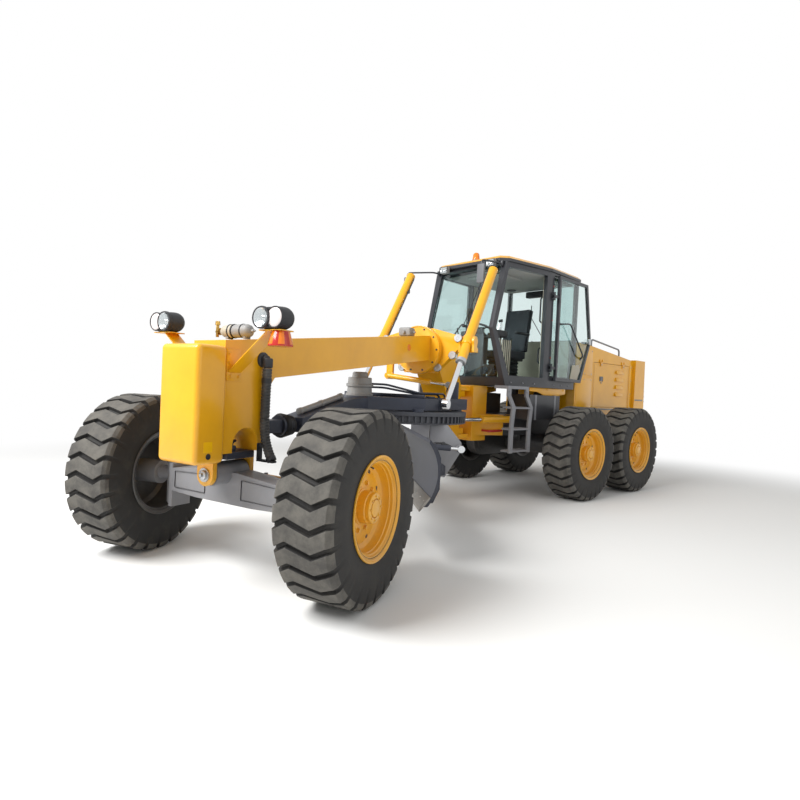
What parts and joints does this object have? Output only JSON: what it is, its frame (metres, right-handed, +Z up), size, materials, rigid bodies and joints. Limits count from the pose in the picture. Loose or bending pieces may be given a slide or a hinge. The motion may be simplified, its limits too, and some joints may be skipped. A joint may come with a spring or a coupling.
{
  "type": "motor grader",
  "caption": "Articulated motor grader with a turning circle and blade under a long beam, tandem drive wheels, a glazed cab and an engine hood.",
  "frame": {"origin": "the middle of the machine's foot as it is parked, at ground height", "axes": "+X to the machine's left, +Y to the rear, +Z up, square to its front frame"},
  "size_m": [3.7468, 9.5262, 3.5106],
  "materials": {
    "yellow_paint": "gloss",
    "slate_paint": "satin",
    "grey_paint": "satin",
    "black_trim": "matte",
    "tyre_rubber": "matte",
    "chrome_rod": "polished",
    "window_glass": "clear",
    "engine_metal": "matte"
  },
  "bodies": {
    "front_frame": {"main_frame": "yellow_paint", "front_weight": "yellow_paint", "front_fittings": "black_trim", "lift_saddle": "yellow_paint", "front_hose": "black_trim"},
    "front_axle": {"front_axle": "yellow_paint"},
    "knuckle_left": {"knuckle_left": "yellow_paint"},
    "knuckle_right": {"knuckle_right": "yellow_paint"},
    "front_wheel_left": {"front_rim_left": "yellow_paint", "front_tyre_left": "tyre_rubber"},
    "front_wheel_right": {"front_rim_right": "yellow_paint", "front_tyre_right": "tyre_rubber"},
    "tie_rod": {"tie_rod": "yellow_paint"},
    "steer_barrel": {"steer_barrel": "slate_paint"},
    "steer_rod": {"steer_rod": "chrome_rod"},
    "drawbar": {"drawbar": "slate_paint", "circle_drive": "slate_paint"},
    "circle": {"circle": "grey_paint"},
    "blade_carrier": {"blade_carrier": "grey_paint"},
    "blade": {"moldboard": "slate_paint", "shift_rod": "chrome_rod"},
    "tip_barrel": {"tip_barrel": "grey_paint"},
    "tip_rod": {"tip_rod": "chrome_rod"},
    "sway_barrel": {"sway_barrel": "yellow_paint"},
    "sway_rod": {"sway_rod": "chrome_rod"},
    "rear_frame": {"rear_frame": "yellow_paint", "cab_body": "black_trim", "cab_roof": "yellow_paint", "cab_glass": "window_glass", "operator_station": "black_trim", "hood": "yellow_paint", "engine_block": "engine_metal", "steps_and_tanks": "yellow_paint", "rails_and_mirrors": "black_trim", "roof_lamps": "black_trim"},
    "lift_barrel_left": {"lift_barrel_left": "yellow_paint"},
    "lift_rod_left": {"lift_rod_left": "chrome_rod"},
    "bend_barrel_left": {"bend_barrel_left": "yellow_paint"},
    "bend_rod_left": {"bend_rod_left": "chrome_rod"},
    "tandem_left": {"tandem_left": "yellow_paint"},
    "mid_wheel_left": {"mid_rim_left": "yellow_paint", "mid_tyre_left": "tyre_rubber"},
    "rear_wheel_left": {"rear_rim_left": "yellow_paint", "rear_tyre_left": "tyre_rubber"},
    "door_left": {"door_left": "black_trim", "door_glass_left": "window_glass"},
    "hood_door_left": {"hood_door_left": "yellow_paint"},
    "lift_barrel_right": {"lift_barrel_right": "yellow_paint"},
    "lift_rod_right": {"lift_rod_right": "chrome_rod"},
    "bend_barrel_right": {"bend_barrel_right": "yellow_paint"},
    "bend_rod_right": {"bend_rod_right": "chrome_rod"},
    "tandem_right": {"tandem_right": "yellow_paint"},
    "mid_wheel_right": {"mid_rim_right": "yellow_paint", "mid_tyre_right": "tyre_rubber"},
    "rear_wheel_right": {"rear_rim_right": "yellow_paint", "rear_tyre_right": "tyre_rubber"},
    "door_right": {"door_right": "black_trim", "door_glass_right": "window_glass"},
    "hood_door_right": {"hood_door_right": "yellow_paint"}
  },
  "joints": [
    {"name": "axle_oscillation", "type": "hinge", "parent": "front_frame", "child": "front_axle", "pos_m": [-0.45877, -4.00054, 0.79], "axis": [0, 1, 0], "range_deg": [-15, 15]},
    {"name": "steer_left", "type": "hinge", "parent": "front_axle", "child": "knuckle_left", "pos_m": [0.30123, -4.00054, 0.674], "axis": [0, 0, 1], "range_deg": [-56.2, 43.8]},
    {"name": "steer_right", "type": "hinge", "parent": "front_axle", "child": "knuckle_right", "pos_m": [-1.21877, -4.00054, 0.674], "axis": [0, 0, 1], "range_deg": [-56.7, 44.3]},
    {"name": "tie_rod_end", "type": "hinge", "parent": "knuckle_left", "child": "tie_rod", "pos_m": [0.27315, -3.74206, 0.59], "axis": [0, 0, 1], "range_deg": [-44.3, 56.7]},
    {"name": "steer_barrel_pin", "type": "hinge", "parent": "front_axle", "child": "steer_barrel", "pos_m": [-0.32877, -3.81054, 0.72], "axis": [0, 0, 1], "range_deg": [-1.55, 1.85]},
    {"name": "steer_rod_slide", "type": "slide", "parent": "steer_barrel", "child": "steer_rod", "axis": [0.9995, -0.0331, 0], "range_m": [-0.1288, 0.1638]},
    {"name": "front_wheel_spin_left", "type": "hinge", "parent": "knuckle_left", "child": "front_wheel_left", "pos_m": [0.62433, -3.96544, 0.674], "axis": [0.9942, 0.108, 0], "continuous": true},
    {"name": "front_wheel_spin_right", "type": "hinge", "parent": "knuckle_right", "child": "front_wheel_right", "pos_m": [-1.53713, -4.06589, 0.674], "axis": [0.9796, 0.2011, 0], "continuous": true},
    {"name": "articulation", "type": "hinge", "parent": "front_frame", "child": "rear_frame", "pos_m": [-0.45877, 0.17246, 1.12], "axis": [0, 0, 1], "range_deg": [-8.2, 41.8]},
    {"name": "bend_barrel_pin_left", "type": "hinge", "parent": "rear_frame", "child": "bend_barrel_left", "pos_m": [0.19173, 0.73548, 1.12], "axis": [0, 0, 1], "range_deg": [-14.61, 3.27]},
    {"name": "bend_rod_slide_left", "type": "slide", "parent": "bend_barrel_left", "child": "bend_rod_left", "axis": [-0.3344, -0.9424, 0], "range_m": [-0.0558, 0.2638]},
    {"name": "bend_barrel_pin_right", "type": "hinge", "parent": "rear_frame", "child": "bend_barrel_right", "pos_m": [-0.68901, 1.00139, 1.12], "axis": [0, 0, 1], "range_deg": [-14.77, 3.3]},
    {"name": "bend_rod_slide_right", "type": "slide", "parent": "bend_barrel_right", "child": "bend_rod_right", "axis": [-0.0466, -0.9989, 0], "range_m": [-0.2565, 0.0543]},
    {"name": "drawbar_lift", "type": "hinge", "parent": "front_frame", "child": "drawbar", "pos_m": [-0.45877, -3.44054, 1.13], "axis": [-1, 0, 0], "range_deg": [-2, 20]},
    {"name": "lift_barrel_pin_left", "type": "hinge", "parent": "front_frame", "child": "lift_barrel_left", "pos_m": [0.15123, -0.89054, 2.1], "axis": [1, 0, 0], "range_deg": [-2.11, 16.61]},
    {"name": "lift_rod_slide_left", "type": "slide", "parent": "lift_barrel_left", "child": "lift_rod_left", "axis": [0, -0.5888, -0.8083], "range_m": [-0.0667, 0.6216]},
    {"name": "lift_barrel_pin_right", "type": "hinge", "parent": "front_frame", "child": "lift_barrel_right", "pos_m": [-1.06877, -0.89054, 2.1], "axis": [1, 0, 0], "range_deg": [-2.11, 16.61]},
    {"name": "lift_rod_slide_right", "type": "slide", "parent": "lift_barrel_right", "child": "lift_rod_right", "axis": [0, -0.5888, -0.8083], "range_m": [-0.0667, 0.6216]},
    {"name": "sway_barrel_pin", "type": "hinge", "parent": "front_frame", "child": "sway_barrel", "pos_m": [-0.88877, -0.99054, 1.66], "axis": [0, -1, 0], "range_deg": [-45.91, 5.04]},
    {"name": "sway_rod_slide", "type": "slide", "parent": "sway_barrel", "child": "sway_rod", "axis": [0.994, 0, -0.1098], "range_m": [-0.0409, 0.3641]},
    {"name": "circle_turn", "type": "hinge", "parent": "drawbar", "child": "circle", "pos_m": [-0.45877, -1.40054, 1.125], "axis": [0, 0, 1], "range_deg": [-6, 101]},
    {"name": "blade_tip", "type": "hinge", "parent": "circle", "child": "blade_carrier", "pos_m": [-0.17924, -1.1899, 0.64], "axis": [0.6018, -0.7986, 0], "range_deg": [-4, 35]},
    {"name": "tip_barrel_pin", "type": "hinge", "parent": "blade_carrier", "child": "tip_barrel", "pos_m": [0.15331, -1.87215, 0.9], "axis": [0.6018, -0.7986, 0], "range_deg": [-19.92, 2.72]},
    {"name": "tip_rod_slide", "type": "slide", "parent": "tip_barrel", "child": "tip_rod", "axis": [0.7975, 0.6009, -0.054], "range_m": [-0.0209, 0.1445]},
    {"name": "blade_shift", "type": "slide", "parent": "blade_carrier", "child": "blade", "axis": [0.6018, -0.7986, 0], "range_m": [-0.7, 0.27]},
    {"name": "tandem_rock_left", "type": "hinge", "parent": "rear_frame", "child": "tandem_left", "pos_m": [0.9212, 2.20015, 0.674], "axis": [0.9573, -0.289, 0], "range_deg": [-15, 15]},
    {"name": "mid_wheel_spin_left", "type": "hinge", "parent": "tandem_left", "child": "mid_wheel_left", "pos_m": [1.03719, 1.3561, 0.674], "axis": [0.9573, -0.289, 0], "continuous": true},
    {"name": "rear_wheel_spin_left", "type": "hinge", "parent": "tandem_left", "child": "rear_wheel_left", "pos_m": [1.4849, 2.83899, 0.674], "axis": [0.9573, -0.289, 0], "continuous": true},
    {"name": "tandem_rock_right", "type": "hinge", "parent": "rear_frame", "child": "tandem_right", "pos_m": [-0.48606, 2.62503, 0.674], "axis": [0.9573, -0.289, 0], "range_deg": [-15, 15]},
    {"name": "mid_wheel_spin_right", "type": "hinge", "parent": "tandem_right", "child": "mid_wheel_right", "pos_m": [-1.04977, 1.98619, 0.674], "axis": [0.9573, -0.289, 0], "continuous": true},
    {"name": "rear_wheel_spin_right", "type": "hinge", "parent": "tandem_right", "child": "rear_wheel_right", "pos_m": [-0.60206, 3.46908, 0.674], "axis": [0.9573, -0.289, 0], "continuous": true},
    {"name": "door_hinge_left", "type": "hinge", "parent": "rear_frame", "child": "door_left", "pos_m": [0.62588, 1.15281, 2.4], "axis": [0, 0, 1], "range_deg": [-188.8, 0]},
    {"name": "door_hinge_right", "type": "hinge", "parent": "rear_frame", "child": "door_right", "pos_m": [-0.81968, 1.58925, 2.4], "axis": [0, 0, -1], "range_deg": [0, 188.8]},
    {"name": "hood_hinge_left", "type": "hinge", "parent": "rear_frame", "child": "hood_door_left", "pos_m": [1.14147, 3.21688, 2.088], "axis": [-0.289, -0.9573, 0], "range_deg": [0, 85]},
    {"name": "hood_hinge_right", "type": "hinge", "parent": "rear_frame", "child": "hood_door_right", "pos_m": [-0.10688, 3.59378, 2.088], "axis": [0.289, 0.9573, 0], "range_deg": [0, 85]}
  ],
  "couplings": [
    {"joint": "steer_right", "follows": "steer_left", "ratio": 1},
    {"joint": "tie_rod_end", "follows": "steer_left", "ratio": -1},
    {"joint": "steer_barrel_pin", "follows": "steer_left", "ratio": -0.024079},
    {"joint": "steer_rod_slide", "follows": "steer_left", "m_per_rad": -0.16193},
    {"joint": "bend_barrel_pin_left", "follows": "articulation", "ratio": -0.33762},
    {"joint": "bend_rod_slide_left", "follows": "articulation", "m_per_rad": 0.35468},
    {"joint": "bend_barrel_pin_right", "follows": "articulation", "ratio": -0.34131},
    {"joint": "bend_rod_slide_right", "follows": "articulation", "m_per_rad": -0.34473},
    {"joint": "lift_barrel_pin_left", "follows": "drawbar_lift", "ratio": 0.80564},
    {"joint": "lift_rod_slide_left", "follows": "drawbar_lift", "m_per_rad": 1.7666},
    {"joint": "lift_barrel_pin_right", "follows": "drawbar_lift", "ratio": 0.80564},
    {"joint": "lift_rod_slide_right", "follows": "drawbar_lift", "m_per_rad": 1.7666},
    {"joint": "sway_barrel_pin", "follows": "drawbar_lift", "ratio": -2.2703},
    {"joint": "sway_rod_slide", "follows": "drawbar_lift", "m_per_rad": 1.0288},
    {"joint": "tip_barrel_pin", "follows": "blade_tip", "ratio": -0.5549},
    {"joint": "tip_rod_slide", "follows": "blade_tip", "m_per_rad": 0.22837}
  ]
}
